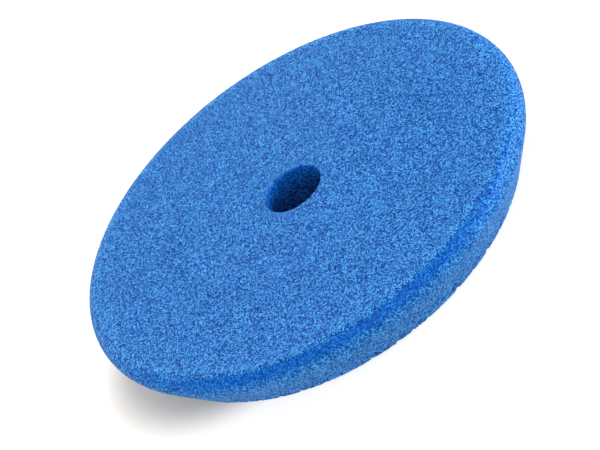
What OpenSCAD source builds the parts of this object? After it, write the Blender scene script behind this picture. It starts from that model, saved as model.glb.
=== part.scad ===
// Round foam polishing pad with a hook-and-loop back and a centre hole.
// It lies on its loops: z = 0 is the face of the loops, +Z points out of the working face,
// and the Z axis is the axis that the pad spins about. Millimetres.

/* [Foam disc] */
// Diameter of the foam at its widest, just below the rounded edge of the working face
face_d = 180; // [120:1:220]
// How much smaller the foam's radius is at its back than at its widest
side_taper = 10; // [0:0.5:15]
// Thickness of the foam
foam_h = 22.4; // [15:0.1:50]
// Radius of the rounded edge round the working face
edge_r = 5; // [1:0.5:7]

/* [Centre hole] */
// Diameter of the hole punched through every layer
hole_d = 23; // [10:0.5:40]

/* [Hook-and-loop back] */
// How far the edge of the loop fabric stays inside the back edge of the foam
back_margin = 5; // [0:0.5:10]
// Height of the loops, from the knitted cloth to their tops
pile_h = 1.8; // [1:0.1:3]
// Thickness of the knitted cloth that holds the loops
cloth_h = 0.6; // [0.3:0.1:1.5]
// Thickness of the hot-melt film between the cloth and the foam
film_h = 0.2; // [0.1:0.05:0.5]

/* [Hidden] */
$fn = 180;

hole_r = hole_d / 2;
face_r = face_d / 2;
back_r = face_r - side_taper;
fabric_r = back_r - back_margin;

// Where each layer starts, counted up from the tops of the loops
cloth_z = pile_h;
film_z = cloth_z + cloth_h;
foam_z = film_z + film_h;

// The rounded edge is one arc that runs into the straight tapered side without a corner.
// arc_r and arc_z are its centre, and side_angle is how far the side leans from upright.
arc_r = face_r - edge_r;
arc_z = foam_h - edge_r;
arc_to_back = norm([arc_r - back_r, arc_z]);
side_angle = atan2(arc_r - back_r, arc_z) + asin(edge_r / arc_to_back);
side_top_r = arc_r + edge_r * cos(side_angle);
side_top_z = arc_z - edge_r * sin(side_angle);

// A flat washer with the pad's own hole in it, for the thin layers of the back
module layer(outer_r, base_z, thickness) {
    translate([0, 0, base_z])
        rotate_extrude()
            translate([hole_r, 0])
                square([outer_r - hole_r, thickness]);
}

// Half of the foam's cross-section, from the wall of the hole to the side
module foam_section() {
    polygon([
        [hole_r, 0],
        [back_r, 0],
        [side_top_r, side_top_z],
        [arc_r, arc_z],
        [arc_r, foam_h],
        [hole_r, foam_h]
    ]);
    translate([arc_r, arc_z])
        circle(r = edge_r);
}

// Open-cell polyurethane foam, cut from block in one piece
module foam_disc() {
    color("royalblue")
        translate([0, 0, foam_z])
            rotate_extrude()
                foam_section();
}

// Hot-melt film that bonds the cloth to the foam
module bonding_film() {
    color("whitesmoke")
        layer(fabric_r, film_z, film_h);
}

// Knitted ground cloth of the loop fabric
module backing_cloth() {
    color("lightgray")
        layer(fabric_r, cloth_z, cloth_h);
}

// The loops that catch the hooks of a backing plate, as one solid as deep as they stand
module loop_pile() {
    color("gainsboro")
        layer(fabric_r, 0, pile_h);
}

foam_disc();
bonding_film();
backing_cloth();
loop_pile();
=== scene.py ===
import itertools
import math

import bpy
import numpy as np
from mathutils import Matrix, Vector


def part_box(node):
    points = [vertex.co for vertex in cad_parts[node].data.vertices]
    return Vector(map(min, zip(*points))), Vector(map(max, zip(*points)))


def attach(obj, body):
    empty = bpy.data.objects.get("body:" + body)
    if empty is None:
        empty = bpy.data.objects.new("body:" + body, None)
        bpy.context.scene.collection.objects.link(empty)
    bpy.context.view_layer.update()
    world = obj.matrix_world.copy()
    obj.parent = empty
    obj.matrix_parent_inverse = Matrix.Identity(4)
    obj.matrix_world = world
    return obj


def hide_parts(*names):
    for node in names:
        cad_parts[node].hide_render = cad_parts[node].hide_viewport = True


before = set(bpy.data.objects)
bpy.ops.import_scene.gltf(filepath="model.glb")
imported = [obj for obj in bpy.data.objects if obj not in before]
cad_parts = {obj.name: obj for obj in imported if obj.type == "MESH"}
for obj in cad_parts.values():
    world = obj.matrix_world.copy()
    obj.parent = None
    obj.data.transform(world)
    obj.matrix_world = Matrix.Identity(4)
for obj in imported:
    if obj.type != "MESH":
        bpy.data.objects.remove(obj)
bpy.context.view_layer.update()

mm = 0.001  # the frame is in metres
tiny = 0.01 * mm
bakeUv = "OFBake"  # the UV map that colours are baked to when the pad is exported
mapHalf = 0.49  # how far a piece reaches from the middle of that map


# sRGB hex, as a paint chart gives it, to the linear colour that a shader takes
def hexColour(code):
    parts = [int(code[i : i + 2], 16) / 255 for i in (1, 3, 5)]
    linear = [p / 12.92 if p <= 0.04045 else ((p + 0.055) / 1.055) ** 2.4 for p in parts]
    return (*linear, 1.0)


# adds a node, sets its properties and its sockets, and links what is given as an output
def addNode(tree, kind, settings=None, sockets=None):
    node = tree.nodes.new(kind)
    for name, value in (settings or {}).items():
        setattr(node, name, value)
    for name, value in (sockets or {}).items():
        if isinstance(value, bpy.types.NodeSocket):
            tree.links.new(value, node.inputs[name])
        else:
            node.inputs[name].default_value = value
    return node


# a material with an empty node tree
def newMaterial(name):
    material = bpy.data.materials.new(name)
    material.use_nodes = True
    material.node_tree.nodes.clear()
    return material, material.node_tree


# puts a mesh or a lamp into the scene
def addObject(name, data):
    item = bpy.data.objects.new(name, data)
    bpy.context.scene.collection.objects.link(item)
    return item


# a mesh object from points, triangles, one UV pair for each corner, and values for each point
def meshPiece(name, points, triangles, uv, values):
    mesh = bpy.data.meshes.new(name)
    mesh.vertices.add(len(points))
    mesh.vertices.foreach_set("co", np.asarray(points, np.float32).ravel())
    mesh.loops.add(triangles.size)
    mesh.loops.foreach_set("vertex_index", np.asarray(triangles, np.int32).ravel())
    mesh.polygons.add(len(triangles))
    mesh.polygons.foreach_set("loop_start", np.arange(0, triangles.size, 3, dtype=np.int32))
    mesh.polygons.foreach_set("use_smooth", np.ones(len(triangles), bool))
    mesh.update(calc_edges=True)
    layer = mesh.uv_layers.new(name=bakeUv)
    layer.uv.foreach_set("vector", np.asarray(uv, np.float32).ravel())
    for key, value in values.items():
        kind, field = ("FLOAT", "value") if np.ndim(value) == 1 else ("FLOAT_VECTOR", "vector")
        attribute = mesh.attributes.new(key, kind, "POINT")
        attribute.data.foreach_set(field, np.asarray(value, np.float32).ravel())
    mesh.validate()
    return addObject(name, mesh)


# straight runs between the corners, with a round of the given radius at each inner corner
def roundedPath(corners, rounds, arcSteps=24):
    corners = [np.array(c, float) for c in corners]
    path = [corners[0]]
    for before, corner, after, radius in zip(corners, corners[1:], corners[2:], rounds):
        toBefore = (before - corner) / np.linalg.norm(before - corner)
        toAfter = (after - corner) / np.linalg.norm(after - corner)
        half = math.acos(np.clip(toBefore @ toAfter, -1, 1)) / 2
        middle = toBefore + toAfter
        centre = corner + middle / np.linalg.norm(middle) * radius / math.sin(half)
        start = corner + toBefore * radius / math.tan(half) - centre
        end = corner + toAfter * radius / math.tan(half) - centre
        first = math.atan2(start[1], start[0])
        turn = (math.atan2(end[1], end[0]) - first + math.pi) % (2 * math.pi) - math.pi
        for t in np.linspace(0, 1, arcSteps):
            angle = first + turn * t
            path.append(centre + radius * np.array([math.cos(angle), math.sin(angle)]))
    path.append(corners[-1])
    return np.array(path)


# how far along the path each of its points is
def lengthAlong(path):
    return np.concatenate([[0], np.cumsum(np.linalg.norm(np.diff(path, axis=0), axis=1))])


# for each point: how far it is inside its cell from the nearest wall, in cells, and a random
# number that all points of the cell share; the cells are those of a jittered grid
def foamCells(points, pitch, seed):
    random = np.random.default_rng(seed)
    # the grid has a few cells to spare on each side, so that every point has all its neighbours
    low = points.min(0) - 2 * pitch
    size = np.ceil((points.max(0) - low) / pitch).astype(int) + 3
    centres = random.random((*size, 3), dtype=np.float32)
    tones = random.random(tuple(size), dtype=np.float32)
    scaled = ((points - low) / pitch).astype(np.float32)
    whole = np.floor(scaled).astype(np.int32)
    within = scaled - whole
    nearest = np.full(len(points), 9.0, np.float32)  # squared, and more than any cell is away
    second = nearest.copy()
    tone = np.zeros(len(points), np.float32)
    for step in itertools.product((-1, 0, 1), repeat=3):
        at = tuple((whole + np.array(step, np.int32)).T)
        away = ((centres[at] + np.array(step, np.float32) - within) ** 2).sum(1)
        closer = away < nearest
        second = np.where(closer, nearest, np.minimum(second, away))
        nearest = np.where(closer, away, nearest)
        tone = np.where(closer, tones[at], tone)
    return np.sqrt(second) - np.sqrt(nearest), tone


# 0 at one value and 1 at the other, with a soft start and end between them
def smooth(atZero, atOne, value):
    t = np.clip((value - atZero) / (atOne - atZero), 0, 1)
    return t * t * (3 - 2 * t)


# rings of points round the axis, and the triangles between them; a ring has as many points as
# the one before it, or twice or half as many, and the last ring is the first again
def closedRings(ringCount):
    first = np.concatenate([[0], np.cumsum(ringCount)])
    ring = np.repeat(np.arange(len(ringCount)), ringCount)
    angle = 2 * math.pi * (np.arange(first[-1]) - first[ring]) / ringCount[ring]
    triangles = []
    for j in range(len(ringCount) - 1):
        inner, outer = ringCount[j], ringCount[j + 1]
        i = np.arange(min(inner, outer))
        after = (i + 1) % len(i)
        a, b, o = first[j], first[j + 1], 2 * i  # both rings' first points, and every other point
        if inner == outer:
            corners = [(a + i, b + i, b + after), (a + i, b + after, a + after)]
        elif inner < outer:
            corners = [
                (a + i, b + o, b + o + 1),
                (a + i, b + o + 1, a + after),
                (a + after, b + o + 1, b + (o + 2) % outer),
            ]
        else:
            corners = [
                (b + i, a + o + 1, a + o),
                (b + i, b + after, a + o + 1),
                (b + after, a + (o + 2) % inner, a + o + 1),
            ]
        triangles += [np.stack(three, 1) for three in corners]
    return ring, angle, np.concatenate(triangles), first[-2]


# how many points each ring needs for the given spacing, in doublings of the smallest ring;
# the slack lets the points lie a little wider before they double
def ringCounts(ringR, spacing, start, slack=1.05):
    doublings = np.ceil(np.log2(2 * math.pi * ringR / start / (slack * spacing)))
    return start * 2 ** np.clip(doublings, 0, None).astype(int)


# a mesh from rings, with the surface laid out as one disc in its bake map
def ringPiece(name, points, values, rings, mapR):
    ring, angle, triangles, keep = rings
    corner = triangles.ravel()
    spread = mapHalf / mapR.max()
    uv = 0.5 + spread * (mapR[ring] * np.stack([np.cos(angle), np.sin(angle)]))[:, corner].T
    triangles = np.where(triangles >= keep, triangles - keep, triangles)
    values = {key: value[:keep] for key, value in values.items()}
    print(f"{name}: {keep} points, {len(triangles)} triangles")
    return meshPiece(name, points[:keep], triangles, uv, values)


# The foam's outline, read from its CAD solid
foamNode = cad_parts["foam_disc"]
foamPoints = np.array([v.co for v in foamNode.data.vertices])
foamRadii = np.hypot(foamPoints[:, 0], foamPoints[:, 1])
backZ, faceZ = (float(z) for z in (foamPoints[:, 2].min(), foamPoints[:, 2].max()))
faceR, holeR = float(foamRadii.max()), float(foamRadii.min())
flatR = float(foamRadii[foamPoints[:, 2] > faceZ - tiny].max())
backR = float(foamRadii[foamPoints[:, 2] < backZ + tiny].max())
edgeR = faceR - flatR
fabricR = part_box("backing_cloth")[1].x
print(f"frame: foam {faceR / mm:.1f} mm in radius, edge {edgeR / mm:.1f}, back {backR / mm:.1f}")


# Open-cell polyurethane foam, cut from block: a net of struts round open pores
foamPad = {
    "cellPitch": 0.64 * mm,  # from pore to pore; about 40 pores an inch
    "poreDepth": 0.42 * mm,  # of the deepest pores
    "shallow": 0.3,  # depth of the shallowest, as a share of the deepest
    "strutShare": 0.02,  # how far the flat top of a strut reaches into its cell, in cells
    "poreShare": 0.40,  # how far in the pore has reached its full depth
    "poreFade": 1.5 * mm,  # over this length the pores fade out at both ends of the mesh
    "rise": 0.2 * mm,  # how far the tips of the struts stand over the nominal surface
    "grid": 0.24 * mm,  # spacing of the mesh
    "jitter": 0.25,  # of the spacing, so that no rows show
    "crestWidth": 1.2 * mm,  # of the paler line where the face turns into the edge: a painted highlight
    "crestShare": 0.5,  # how much paler the painted highlight is, as a share of a pore's depth
    "edgeTilt": (0.95, 0.8),  # the surface's upward part where the edge's painted shade starts and is full
    "wallTilt": (0.6, 0),  # the same for the side's painted shade
    "shoulderTurn": -103,  # the edge's painted shade is darkest at this angle, in degrees
    "shoulderFull": 22,  # and the painted shade ends this far to both sides
    "shoulderEnd": 72,  # they are like the rest from here
    "boreFade": 9 * mm,  # depth in the hole at which its painted shade is darkest
    "nickPitch": 2.1 * mm,  # of the places where the cutter may have torn cells out of the side
    "nickShare": 0.7,  # how many of those places are torn
    "nickDepth": 1.0 * mm,
    "nickReach": 9 * mm,  # how far up from the back they go
    "nickSlope": 0.5,  # how far in a nick has reached its full depth, in cells
    "nickTilt": (0.4, -0.1),  # the surface's upward part where nicks start and are full
    "holeRound": 0.5 * mm,
    "backRound": 0.4 * mm,
    "hiddenWidth": 2 * mm,  # how far in under the fabric's rim the foam still has pores
    "mapCore": 0.1,  # radius of the hole's lower end in the bake map, as a share of its upper end
    "ringStart": 288,  # points round the hole
    "seed": 11,
}


# up the wall of the hole, out over the face, round the edge, down the side and in under the fabric
def foamOutline(p):
    height = faceZ - backZ
    toBack = math.hypot(flatR - backR, height - edgeR)
    lean = math.atan2(flatR - backR, height - edgeR) + math.asin(edgeR / toBack)
    corners = [
        (holeR, backZ),
        (holeR, faceZ),
        (backR + height * math.tan(lean), faceZ),
        (backR, backZ),
        (fabricR - p["hiddenWidth"], backZ),
    ]
    return roundedPath(corners, [p["holeRound"], edgeR, p["backRound"]])


def makeFoamPad(p):
    height = faceZ - backZ
    path = foamOutline(p)
    along = lengthAlong(path)
    count = int(along[-1] / p["grid"]) + 1
    places = np.linspace(0, along[-1], count)
    ringR = np.interp(places, along, path[:, 0])
    ringZ = np.interp(places, along, path[:, 1])
    slopeR, slopeZ = np.gradient(ringR), np.gradient(ringZ)
    slope = np.hypot(slopeR, slopeZ)
    outR, outZ = -slopeZ / slope, slopeR / slope
    ringCount = ringCounts(ringR, p["grid"], p["ringStart"])
    # the hidden back is closed by a few wide rings that halve their points
    wideRings = int(math.log2(ringCount[-1] / p["ringStart"])) + 1
    closing = np.linspace(ringR[-1], holeR, wideRings + 1)[1:]
    halved = [max(p["ringStart"], ringCount[-1] // 2 ** (i + 1)) for i in range(wideRings)]
    ringCount = np.concatenate([ringCount, halved])
    ringR = np.concatenate([ringR, closing])
    ringZ = np.concatenate([ringZ, np.full(wideRings, backZ)])
    outR = np.concatenate([outR, np.zeros(wideRings)])
    outZ = np.concatenate([outZ, -np.ones(wideRings)])
    # the bake map is one disc: the wall of the hole innermost, then the face, the side and the back
    inHole = places < height
    mapR = holeR + (places - height)
    mapR[inHole] = holeR * (p["mapCore"] + (1 - p["mapCore"]) * places[inHole] / height)
    mapR = np.concatenate([mapR, mapR[-1] + mm * np.arange(1, wideRings + 1)])
    rings = closedRings(ringCount)
    ring, angle = rings[:2]
    # the smooth surface, with its points moved a little along it
    random = np.random.default_rng(p["seed"])
    fine = (ring > 0) & (ring < count - 1)
    swing = p["jitter"] * p["grid"] * (random.random((len(ring), 2)) - 0.5) * 2 * fine[:, None]
    around = angle + swing[:, 0] / ringR[ring]
    facesOut, facesUp = outR[ring], outZ[ring]
    radius = ringR[ring] + swing[:, 1] * facesUp
    z = ringZ[ring] - swing[:, 1] * facesOut
    surface = np.stack([radius * np.cos(around), radius * np.sin(around), z], 1)
    outward = np.stack([facesOut * np.cos(around), facesOut * np.sin(around), facesUp], 1)
    # the pores, and the places where whole cells are torn out
    inside, tone = foamCells(surface, p["cellPitch"], p["seed"])
    pore = smooth(p["strutShare"], p["poreShare"], inside) * (p["shallow"] + (1 - p["shallow"]) * tone)
    toEnd = np.minimum(places[-1] - places, places)[np.minimum(ring, count - 1)]
    pore *= smooth(0, p["poreFade"], toEnd) * fine
    inNick, nickTone = foamCells(surface, p["nickPitch"], p["seed"] + 1)
    nick = smooth(0, p["nickSlope"], inNick) * smooth(1 - p["nickShare"], 1, nickTone)
    nick *= smooth(*p["nickTilt"], facesUp) * smooth(backZ + p["nickReach"], backZ, surface[:, 2])
    nick *= (facesOut > 0) * fine
    sunk = pore * p["poreDepth"] + nick * p["nickDepth"] - fine * p["rise"]
    points = surface - outward * sunk[:, None]
    # where each of the material's colours goes
    surfaceR = np.hypot(surface[:, 0], surface[:, 1])
    # a painted highlight along the crest where the face turns into the edge
    crestHighlight = np.exp(-(((surfaceR - flatR) / p["crestWidth"]) ** 2)) * (facesUp > 0)
    turned = np.abs(np.degrees(angle) % 360 - p["shoulderTurn"] % 360)
    turned = np.minimum(turned, 360 - turned)
    inBore = (ringR[ring] < 1.1 * holeR) & (facesOut < 0)  # the wall of the hole and its round
    # painted shade on the rounded edge: full round shoulderTurn and in the hole, none beyond shoulderEnd
    edgeShade = np.maximum(smooth(p["shoulderEnd"], p["shoulderFull"], turned), facesOut < 0)
    values = {
        # the pores' depth, which the material paints as shade, less a painted highlight along the crest
        "pore": pore - p["crestShare"] * crestHighlight,
        "edge": smooth(*p["edgeTilt"], facesUp) * edgeShade,
        # the side gets darker colours, painted shade
        "wall": smooth(*p["wallTilt"], facesUp) * (facesOut > -0.5),  # not in the hole
        # painted shade in the hole, darker with depth
        "boreShade": smooth(0, p["boreFade"], faceZ - surface[:, 2]) * inBore,
        "outward": outward,
    }
    return ringPiece("foam_disc_cells", points, values, rings, mapR)


# Polyurethane foam, dyed blue through and cut: matte, with paler tips of struts, a painted highlight,
# and darker pores, painted shade.
# Seen at a low angle only the tips show, and the foam looks paler, as if it had a faint skin
foamFinish = {
    # three colours each: the tips of the struts, paler as a painted highlight; the mean; and the bottom
    # of a pore, darker as painted shade
    "face": ("#54B2FB", "#0668D6", "#0040A6"),
    "edge": ("#2488EA", "#0468D6", "#004CB6"),  # painted shade on the rounded edge, towards the front and round the top of the hole
    "wall": ("#4AA4E8", "#0668CC", "#0044A0"),  # the tapered side: a darker copy of the face's colours, painted shade
    "boreShade": ("#2070C4", "#003486", "#001448"),  # the wall of the hole: painted shade, darker with depth
    "meanAt": 0.45,  # depth of the mean colour, where the bottom of a pore is 1
    "fineCell": 0.42 * mm,  # the small cells between the opened ones
    "fineStrut": 0.07,  # half the width of a strut, in cells
    "fineTone": (0.2, 0.8),  # a cell's random number, up to which it is closed and from which open
    "fineShare": 0.95,  # how much the small cells count for the colour
    "poreShare": 0.25,  # how much the pores of the mesh do
    "bump": 0.15 * mm,  # depth of the small cells
    "roughness": 0.8,
    "ior": 1.5,  # polyurethane
    "specular": 0.04,  # low, because a pore swallows most of what a strut reflects
    "bloom": 0.04,  # scattered by the finest struts
    "bloomColour": "#B0D4FF",
    "bloomRoughness": 0.3,
    "skin": 1.0,  # reflection of the tips of the struts, which shows at a low angle
    "skinRoughness": 0.4,
    "skinIor": 1.15,  # lower than the solid's, as the skin is mostly air
}


def foamMaterial(p):
    material, tree = newMaterial("polyurethaneFoamCut")
    softly = {"interpolation_type": "SMOOTHSTEP"}
    # the small cells: painted shade inside, a painted highlight on the struts, and most either well open
    # or nearly closed
    body = addNode(tree, "ShaderNodeTexCoord")
    cells = {"Vector": body.outputs["Object"], "Scale": 1 / p["fineCell"]}
    tone = addNode(tree, "ShaderNodeTexVoronoi", {"feature": "F1"}, cells)
    wall = addNode(tree, "ShaderNodeTexVoronoi", {"feature": "DISTANCE_TO_EDGE"}, cells)
    inside = addNode(
        tree,
        "ShaderNodeMapRange",
        softly,
        {"Value": wall.outputs["Distance"], "From Min": 0.0, "From Max": p["fineStrut"]},
    )
    single = addNode(tree, "ShaderNodeSeparateColor", None, {"Color": tone.outputs["Color"]})
    closedTo, openFrom = p["fineTone"]
    opening = addNode(
        tree,
        "ShaderNodeMapRange",
        softly,
        {"Value": single.outputs[0], "From Min": closedTo, "From Max": openFrom},
    )
    product = {"operation": "MULTIPLY"}
    fine = addNode(tree, "ShaderNodeMath", product, {0: inside.outputs[0], 1: opening.outputs[0]})
    pore = addNode(tree, "ShaderNodeAttribute", {"attribute_name": "pore"})
    coarse = addNode(tree, "ShaderNodeMath", product, {0: pore.outputs["Fac"], 1: p["poreShare"]})
    depth = addNode(
        tree,
        "ShaderNodeMath",
        {"operation": "MULTIPLY_ADD", "use_clamp": True},
        {0: fine.outputs[0], 1: p["fineShare"], 2: coarse.outputs[0]},
    )
    # each place's colours lie over the ones before
    colour = None
    for place in ("face", "edge", "wall", "boreShade"):
        tipHighlight, mean, bottomShade = (hexColour(code) for code in p[place])
        ramp = addNode(tree, "ShaderNodeValToRGB", None, {"Fac": depth.outputs[0]})
        ramp.color_ramp.elements[0].color = tipHighlight
        ramp.color_ramp.elements[1].color = bottomShade
        ramp.color_ramp.elements.new(p["meanAt"]).color = mean
        if colour is None:
            colour = ramp.outputs["Color"]
            continue
        share = addNode(tree, "ShaderNodeAttribute", {"attribute_name": place})
        sockets = {0: share.outputs["Fac"], 6: colour, 7: ramp.outputs["Color"]}
        colour = addNode(tree, "ShaderNodeMix", {"data_type": "RGBA"}, sockets).outputs[2]
    # the skin follows the foam as a whole, not each strut
    outward = addNode(tree, "ShaderNodeAttribute", {"attribute_name": "outward"})
    whole = addNode(
        tree,
        "ShaderNodeVectorTransform",
        {"vector_type": "NORMAL", "convert_from": "OBJECT", "convert_to": "WORLD"},
        {"Vector": outward.outputs["Vector"]},
    )
    bump = addNode(
        tree,
        "ShaderNodeBump",
        {"invert": True},
        {"Distance": p["bump"], "Height": fine.outputs[0], "Normal": whole.outputs["Vector"]},
    )
    shader = addNode(
        tree,
        "ShaderNodeBsdfPrincipled",
        None,
        {
            "Base Color": colour,
            "Roughness": p["roughness"],
            "IOR": p["ior"],
            "Specular IOR Level": p["specular"],
            "Normal": bump.outputs["Normal"],
            "Sheen Weight": p["bloom"],
            "Sheen Tint": hexColour(p["bloomColour"]),
            "Sheen Roughness": p["bloomRoughness"],
            "Coat Weight": p["skin"],
            "Coat Roughness": p["skinRoughness"],
            "Coat IOR": p["skinIor"],
            "Coat Normal": whole.outputs["Vector"],
        },
    )
    addNode(tree, "ShaderNodeOutputMaterial", None, {"Surface": shader.outputs["BSDF"]})
    return material


foam = makeFoamPad(foamPad)
foam.data.materials.append(foamMaterial(foamFinish))
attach(foam, "root")
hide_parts("foam_disc")
print("foam: pores, colours and place in the frame")


# Hot-melt film that holds the fabric to the foam, pressed out a little at its rim
bondingFilm = {
    "points": 720,  # round each ring
    "bead": 0.25 * mm,  # how far it is pressed out at most
    "beadTurns": (7, 19, 43),  # how often the rim waves in and out in one turn
    "roundSteps": 6,  # points round the rim
    "flatStep": 6 * mm,  # between the rings of the flat parts
}


def makeBondingFilm(p):
    low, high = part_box("bonding_film")
    middle, halfway = (low.z + high.z) / 2, (high.z - low.z) / 2
    turn = np.linspace(-math.pi / 2, math.pi / 2, p["roundSteps"])
    flat = np.arange(holeR + p["flatStep"], fabricR - p["flatStep"], p["flatStep"])
    # out along the underside, round the rim, back along the top, and round the hole
    ringR = np.concatenate([flat, fabricR - halfway + halfway * np.cos(turn), flat[::-1]])
    ringR = np.concatenate([ringR, holeR + halfway - halfway * np.cos(turn), flat[:1]])
    ringZ = np.concatenate([flat * 0 - halfway, halfway * np.sin(turn), flat * 0 + halfway])
    ringZ = np.concatenate([ringZ, -halfway * np.sin(turn), [-halfway]]) + middle
    rings = closedRings(np.full(len(ringR), p["points"]))
    ring, angle = rings[:2]
    # each wave starts at an angle of its own
    wave = sum(np.sin(n * angle + n * n) for n in p["beadTurns"]) / len(p["beadTurns"])
    radius = ringR[ring] + p["bead"] * (0.5 + 0.5 * wave) * (ringR[ring] > fabricR - 2 * halfway)
    points = np.stack([radius * np.cos(angle), radius * np.sin(angle), ringZ[ring]], 1)
    mapR = holeR + lengthAlong(np.stack([ringR, ringZ], 1))
    return ringPiece("bonding_film_layer", points, {}, rings, mapR)


# Warp-knitted polyester that carries the loops: columns of stitches, raised on the loops' side
backingCloth = {
    "wale": 1.8 * mm,  # from column to column; twice as coarse as real, so that it shows
    "course": 1.5 * mm,  # from stitch to stitch along a column; coarser too
    "slant": 0.8,  # how far the two legs of a stitch lean, in stitches
    "relief": 0.1 * mm,  # height of the stitches
    "fade": 0.2 * mm,  # how far up the cut edge they fade out
    "round": 0.25 * mm,  # of the cut edge
    "roundSteps": 5,
    "grid": 0.54 * mm,  # spacing of the mesh
    "plainRings": 20,  # for the bonded side, which is plain
    "ringStart": 144,  # points round the hole
}


def makeBackingCloth(p):
    low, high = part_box("backing_cloth")
    middleZ = (low.z + high.z) / 2
    corners = [(holeR, middleZ), (holeR, low.z), (fabricR, low.z), (fabricR, high.z), (holeR, high.z)]
    path = roundedPath(corners + corners[:1], [p["round"]] * 4, p["roundSteps"])
    along = lengthAlong(path)
    lowerEnd = fabricR - holeR + high.z - low.z
    below = np.arange(0, lowerEnd, p["grid"])
    above = np.linspace(lowerEnd, along[-1], p["plainRings"])
    places = np.concatenate([below, above])
    ringR = np.interp(places, along, path[:, 0])
    ringZ = np.interp(places, along, path[:, 1])
    rings = closedRings(ringCounts(ringR, p["grid"], p["ringStart"]))
    ring, angle = rings[:2]
    x, y = ringR[ring] * np.cos(angle), ringR[ring] * np.sin(angle)
    # two legs to each column, and stitches that lean along them
    column = x / p["wale"]
    leg = np.abs(2 * (column - np.floor(column)) - 1)
    stitch = 0.5 + 0.5 * np.cos(2 * math.pi * (y / p["course"] + p["slant"] * leg))
    relief = np.sin(math.pi * np.abs(2 * leg - 1)) * 0.5 + stitch * 0.5
    facing = smooth(low.z + p["fade"], low.z, ringZ[ring])
    z = ringZ[ring] + p["relief"] * facing * (1 - relief)
    values = {"relief": relief * facing}
    return ringPiece("backing_cloth_knit", np.stack([x, y, z], 1), values, rings, holeR + places)


# The loops that the backing plate's hooks catch: polyester yarn standing out of the cloth
loopPile = {
    "spacing": 1.95 * mm,  # twice as coarse as real, like the cloth
    "jitter": 0.3,  # of the spacing
    "width": 1.15 * mm,  # between a loop's feet
    "belly": 0.35,  # how much wider it is in its middle
    "crown": 0.8,  # below 1 makes its top flatter, above 1 more pointed
    "shortest": 0.78,  # height of the shortest loops, as a share of the full height
    "rooted": 0.1 * mm,  # how deep the feet stand in the cloth
    "spread": 35,  # how far loops turn from the knit's direction, in degrees
    "lean": 28,  # how far they lean over, in degrees
    "yarn": 0.15 * mm,  # half of the yarn's thickness
    "steps": 7,  # points along the yarn
    "sides": 3,  # points round it
    "seed": 5,
}


def makeLoopPile(p):
    random = np.random.default_rng(p["seed"])
    low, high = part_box("loop_pile")
    # the loops stand on a jittered grid of equal triangles
    rowStep = math.sqrt(0.75)
    rows = int(2 * fabricR / (p["spacing"] * rowStep))
    i, j = np.meshgrid(np.arange(-rows, rows), np.arange(-rows, rows))
    spots = np.stack([(i + 0.5 * (j % 2)), j * rowStep], -1).reshape(-1, 2) * p["spacing"]
    spots += (random.random(spots.shape) - 0.5) * p["jitter"] * p["spacing"]
    reach = np.hypot(spots[:, 0], spots[:, 1])
    margin = p["width"] / 2 + p["yarn"]
    spots = spots[(reach > holeR + margin) & (reach < fabricR - margin)]
    count = len(spots)
    facing = np.radians(p["spread"]) * (random.random(count) * 2 - 1)
    lean = np.radians(p["lean"]) * (random.random(count) * 2 - 1)
    height = (high.z - low.z - p["yarn"]) * (p["shortest"] + (1 - p["shortest"]) * random.random(count))
    # the middle line of each loop, from foot to foot
    across = np.stack([np.cos(facing), np.sin(facing), 0 * facing], 1)
    side = np.stack([-np.sin(facing), np.cos(facing), 0 * facing], 1)
    down = side * np.sin(lean)[:, None] - np.array([0, 0, 1]) * np.cos(lean)[:, None]
    t = np.linspace(0, math.pi, p["steps"])
    sideways = -np.cos(t) * (1 + p["belly"] * np.sin(t)) * p["width"] / 2
    reachDown = np.sin(t)[None, :] ** p["crown"] * (height + p["rooted"])[:, None]
    line = spots[:, None, :] @ np.eye(2, 3) + np.array([0, 0, high.z + p["rooted"]])
    line = line + across[:, None, :] * sideways[None, :, None]
    line = line + down[:, None, :] * reachDown[:, :, None]
    # the yarn's thickness round that line
    run = np.gradient(line, axis=1)
    run /= np.linalg.norm(run, axis=2, keepdims=True)
    flat = np.cross(down, across)[:, None, :] + 0 * run
    third = np.cross(run, flat)
    turn = 2 * math.pi * np.arange(p["sides"]) / p["sides"]
    points = line[:, :, None, :] + p["yarn"] * (
        np.cos(turn)[:, None] * flat[:, :, None, :] + np.sin(turn)[:, None] * third[:, :, None, :]
    )
    points[..., 2] = np.clip(points[..., 2], low.z, None)
    # the triangles of one loop, with its two ends closed, then of all
    step, k = np.meshgrid(np.arange(p["steps"] - 1), np.arange(p["sides"]), indexing="ij")
    a, b = step * p["sides"] + k, step * p["sides"] + (k + 1) % p["sides"]
    c, d = a + p["sides"], b + p["sides"]
    last = (p["steps"] - 1) * p["sides"]
    one = [np.stack([a, b, d], -1).reshape(-1, 3), np.stack([a, d, c], -1).reshape(-1, 3)]
    one = np.concatenate([*one, [[0, 2, 1], [last, last + 1, last + 2]]])
    perLoop = p["steps"] * p["sides"]
    triangles = (one[None] + (np.arange(count) * perLoop)[:, None, None]).reshape(-1, 3)
    points = points.reshape(-1, 3)
    uv = (0.5 + mapHalf * points[:, :2] / fabricR)[triangles.ravel()]
    values = {"tone": np.repeat(random.random(count), perLoop)}
    print(f"loop_pile_loops: {count} loops, {len(triangles)} triangles")
    return meshPiece("loop_pile_loops", points, triangles, uv, values)


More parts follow.
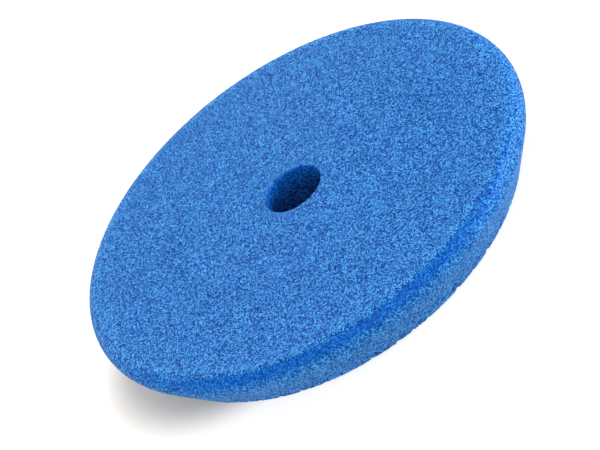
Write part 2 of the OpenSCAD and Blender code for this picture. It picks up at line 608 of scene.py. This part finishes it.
# The pale layers of the back; each has two colours that a pattern mixes, and a fine relief
backingFinishes = {
    # hot-melt polyurethane film: milky and waxy, clouded where it has soaked into the foam
    "hotMeltFilm": {
        "pale": "#E4E1D4",
        "deep": "#C9C8BC",
        "deepTo": 0.3,  # up to here the pattern has the deep colour
        "paleFrom": 0.65,  # and from here the pale one
        "pattern": 2.2 * mm,  # size of the clouds
        "attribute": None,
        "roughness": 0.38,
        "ior": 1.5,
        "bump": 0.03 * mm,
        "bloom": 0.0,
    },
    # knitted polyester: matte, with painted shade, grey, in the hollows between the stitches
    "knittedPolyester": {
        "pale": "#D3D5D8",
        "deep": "#868B92",
        "deepTo": 0.3,
        "paleFrom": 0.9,
        "pattern": 0.35 * mm,  # the filaments in a yarn; coarser than real
        # the stitches' relief paints shade into the hollows between them
        "attribute": "relief",
        "attributeShare": 0.65,  # how much the mesh's own values add to the pattern
        "roughness": 0.85,
        "ior": 1.53,
        "bump": 0.05 * mm,
        "bloom": 0.25,
    },
    # polyester loops, napped so that hooks catch them: bright, with a soft shine
    "nappedPolyesterLoops": {
        "pale": "#F2F3F4",
        "deep": "#CDD1D6",
        "deepTo": 0.3,
        "paleFrom": 0.9,
        "pattern": 0.3 * mm,
        "attribute": "tone",
        "attributeShare": 0.65,
        "roughness": 0.6,
        "ior": 1.53,
        "bump": 0.04 * mm,
        "bloom": 0.3,
    },
}


def backingMaterial(name, p):
    material, tree = newMaterial(name)
    body = addNode(tree, "ShaderNodeTexCoord")
    grain = addNode(
        tree,
        "ShaderNodeTexNoise",
        None,
        {"Vector": body.outputs["Object"], "Scale": 1 / p["pattern"], "Detail": 3.0, "Roughness": 0.6},
    )
    share = grain.outputs["Fac"]
    if p["attribute"]:
        meshValues = addNode(tree, "ShaderNodeAttribute", {"attribute_name": p["attribute"]})
        sockets = {0: meshValues.outputs["Fac"], 1: p["attributeShare"], 2: share}
        share = addNode(tree, "ShaderNodeMath", {"operation": "MULTIPLY_ADD"}, sockets).outputs[0]
    ramp = addNode(tree, "ShaderNodeValToRGB", None, {"Fac": share})
    for end, position, colour in ((0, p["deepTo"], p["deep"]), (1, p["paleFrom"], p["pale"])):
        ramp.color_ramp.elements[end].position = position
        ramp.color_ramp.elements[end].color = hexColour(colour)
    bump = addNode(tree, "ShaderNodeBump", None, {"Distance": p["bump"], "Height": grain.outputs["Fac"]})
    shader = addNode(
        tree,
        "ShaderNodeBsdfPrincipled",
        None,
        {
            "Base Color": ramp.outputs["Color"],
            "Roughness": p["roughness"],
            "IOR": p["ior"],
            "Sheen Weight": p["bloom"],
            "Normal": bump.outputs["Normal"],
        },
    )
    addNode(tree, "ShaderNodeOutputMaterial", None, {"Surface": shader.outputs["BSDF"]})
    return material


film = makeBondingFilm(bondingFilm)
cloth = makeBackingCloth(backingCloth)
loops = makeLoopPile(loopPile)
for piece, node, slotName, finish in (
    (film, "bonding_film", "film", "hotMeltFilm"),
    (cloth, "backing_cloth", "cloth", "knittedPolyester"),
    (loops, "loop_pile", "loops", "nappedPolyesterLoops"),
):
    piece.data.materials.append(backingMaterial(finish, backingFinishes[finish]))
    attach(piece, "root")
    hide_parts(node)
print(f"back: film, cloth and loops; the cloth is cut from {2 * fabricR / mm:.0f} mm square")


# A white studio floor, which glows like a light table, but not under the pad, and less in a painted
# shadow beside it
studioFloor = {
    "half": 4.0,  # of its width
    "colour": "#A8A29C",
    "roughness": 0.9,
    "glowColour": "#FFFEFB",
    "glow": 0.8,
    # places where it glows less: their middle, the share of the glow that is left there, and how
    # far out they are at full strength and end; lengths are shares of the foam's radius at its back
    "dimmed": (
        ((0, 0, 0), 0.0, 0.3, 0.5),
        ((-0.66, -0.08, 0), 0.28, 0.43, 0.7),  # a painted shadow of the pad
    ),
}


def makeFloor(p):
    half = p["half"]
    mesh = bpy.data.meshes.new("studio_floor")
    corners = [(-half, -half, 0), (half, -half, 0), (half, half, 0), (-half, half, 0)]
    mesh.from_pydata(corners, [], [(0, 1, 2, 3)])
    floor = addObject("studio_floor", mesh)
    paint, tree = newMaterial("whiteStudioPaint")
    place = addNode(tree, "ShaderNodeTexCoord")
    glow = p["glow"]
    for centre, left, near, far in p["dimmed"]:
        away = addNode(
            tree,
            "ShaderNodeVectorMath",
            {"operation": "DISTANCE"},
            {0: place.outputs["Object"], 1: [backR * c for c in centre]},
        )
        reach = {"From Min": near * backR, "From Max": far * backR}
        patch = addNode(
            tree,
            "ShaderNodeMapRange",
            {"interpolation_type": "SMOOTHSTEP"},
            {"Value": away.outputs["Value"], **reach, "To Min": left},
        )
        sockets = {0: glow, 1: patch.outputs[0]}
        glow = addNode(tree, "ShaderNodeMath", {"operation": "MULTIPLY"}, sockets).outputs[0]
    shader = addNode(
        tree,
        "ShaderNodeBsdfPrincipled",
        None,
        {
            "Base Color": hexColour(p["colour"]),
            "Roughness": p["roughness"],
            "Emission Color": hexColour(p["glowColour"]),
            "Emission Strength": glow,
        },
    )
    addNode(tree, "ShaderNodeOutputMaterial", None, {"Surface": shader.outputs["BSDF"]})
    mesh.materials.append(paint)
    return floor


floor = makeFloor(studioFloor)

# Softboxes, placed round the pad by compass angle (0 is +X, 90 is +Y) and height above the floor,
# in degrees, and by distance in metres
lights = {
    "topSoftbox": {"around": 92, "up": 62, "away": 1.5, "width": 1.4, "depth": 0.8, "watts": 7.5},
    "backSoftbox": {"around": 110, "up": 14, "away": 1.5, "width": 1.6, "depth": 0.5, "watts": 9},
    "frontSoftbox": {"around": -95, "up": 48, "away": 1.6, "width": 1.0, "depth": 0.6, "watts": 6},
    "sideSoftbox": {"around": -8, "up": 8, "away": 1.2, "width": 0.8, "depth": 0.4, "watts": 10},
}


def makeLight(name, p):
    data = bpy.data.lights.new(name, "AREA")
    data.shape = "RECTANGLE"
    data.size = p["width"]
    data.size_y = p["depth"]
    data.energy = p["watts"]
    around, up = math.radians(p["around"]), math.radians(p["up"])
    level = math.cos(up)
    direction = Vector((math.cos(around) * level, math.sin(around) * level, math.sin(up)))
    lamp = addObject(name, data)
    lamp.location = direction * p["away"]
    lamp.rotation_euler = direction.to_track_quat("Z", "Y").to_euler()


for lightName, lightPlan in lights.items():
    makeLight(lightName, lightPlan)

# A white tent round the pad; its wall is bright and its top darker
tent = {
    "wall": 0.85,
    "top": 0.4,
    "wallTo": 0.2,  # how high the full brightness of the wall goes, where the top is 1
}


def makeTent(p):
    world = bpy.data.worlds.new("studio")
    bpy.context.scene.world = world
    world.use_nodes = True
    tree = world.node_tree
    tree.nodes.clear()
    place = addNode(tree, "ShaderNodeTexCoord")
    up = addNode(tree, "ShaderNodeSeparateXYZ", None, {"Vector": place.outputs["Generated"]})
    strength = addNode(
        tree,
        "ShaderNodeMapRange",
        {"interpolation_type": "SMOOTHSTEP"},
        {
            "Value": up.outputs["Z"],
            "From Min": p["wallTo"],
            "From Max": 1.0,
            "To Min": p["wall"],
            "To Max": p["top"],
        },
    )
    white = {"Color": (1, 1, 1, 1), "Strength": strength.outputs["Result"]}
    sky = addNode(tree, "ShaderNodeBackground", None, white)
    addNode(tree, "ShaderNodeOutputWorld", None, {"Surface": sky.outputs["Background"]})


makeTent(tent)
bpy.context.scene.view_settings.view_transform = "Standard"
print(f"studio: floor, tent and {len(lights)} softboxes")

# The camera, placed from the middle of the working face; lengths are shares of the foam's radius
cameraPlan = {
    "lens": 124.3,  # in millimetres
    "sensor": 36,
    "away": 8.32,
    "up": 33.0,  # above the face, in degrees
    "aimX": -0.063,
    "aimY": -0.241,
    "roll": -37.11,  # how far the camera's right side dips, in degrees
    "sees": (0.05, 50),  # from how near to how far, in metres
}


def makeCamera(p):
    data = bpy.data.cameras.new("camera")
    data.lens = p["lens"]
    data.sensor_width = p["sensor"]
    data.clip_start, data.clip_end = p["sees"]
    up = math.radians(p["up"])
    middle = Vector((0, 0, faceZ))
    place = middle + faceR * p["away"] * Vector((0, -math.cos(up), math.sin(up)))
    aim = middle + faceR * Vector((p["aimX"], p["aimY"], 0))
    level = (aim - place).to_track_quat("-Z", "Y").to_matrix()
    rolled = level @ Matrix.Rotation(math.radians(p["roll"]), 3, "Z")
    camera = addObject("camera", data)
    camera.matrix_world = Matrix.Translation(place) @ rolled.to_4x4()
    bpy.context.scene.camera = camera


makeCamera(cameraPlan)
print("camera: in place")
